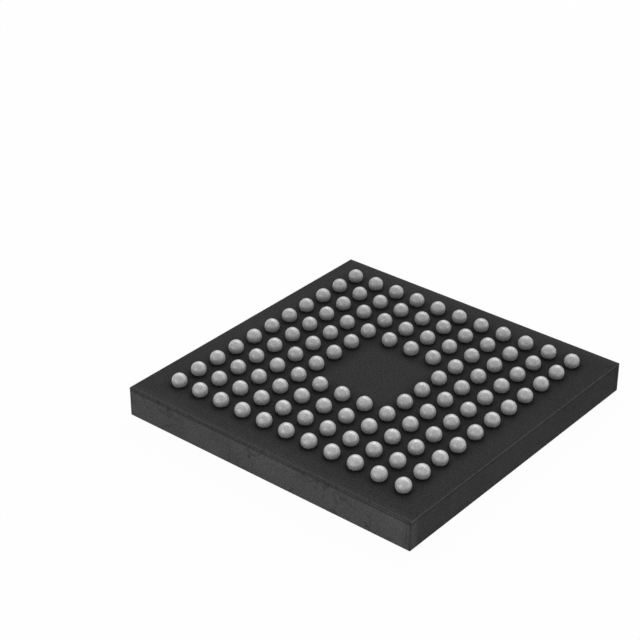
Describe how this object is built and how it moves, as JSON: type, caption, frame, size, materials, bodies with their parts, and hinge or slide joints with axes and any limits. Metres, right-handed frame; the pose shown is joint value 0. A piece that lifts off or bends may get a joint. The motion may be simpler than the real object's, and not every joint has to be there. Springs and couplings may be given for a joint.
{
  "type": "ball grid array package",
  "caption": "Square flat moulded chip package: a grid of solder balls round a clear centre on one face, and a plain moulded face with a corner dimple on the other.",
  "frame": {"origin": "centre of the moulded face, the face opposite the balls, which the part lies on", "axes": "+Z from the moulded face to the balls; +X runs along the letters of the ball rows, and ball A1 is at the corner of least X and most Y"},
  "size_m": [0.01, 0.01, 0.0013],
  "materials": {
    "mould_compound": "matte black epoxy moulding compound with a fine eroded grain, sawn sides slightly lighter",
    "laminate": "matte black solder mask over the laminate",
    "silicon": "polished silicon",
    "die_adhesive": "cured film",
    "gold_wire": "bright drawn wire",
    "solder": "reflowed solder, satin grey with fine mottling"
  },
  "bodies": {
    "root": {"mould_cap": "mould_compound", "substrate": "laminate", "die": "silicon", "die_attach": "die_adhesive", "bond_wires_right": "gold_wire", "bond_wires_back": "gold_wire", "bond_wires_left": "gold_wire", "bond_wires_front": "gold_wire", "solder_balls_row_a": "solder", "solder_balls_row_b": "solder", "solder_balls_row_c": "solder", "solder_balls_row_d": "solder", "solder_balls_row_e": "solder", "solder_balls_row_f": "solder", "solder_balls_row_g": "solder", "solder_balls_row_h": "solder", "solder_balls_row_j": "solder", "solder_balls_row_k": "solder", "solder_balls_row_l": "solder"}
  },
  "joints": []
}
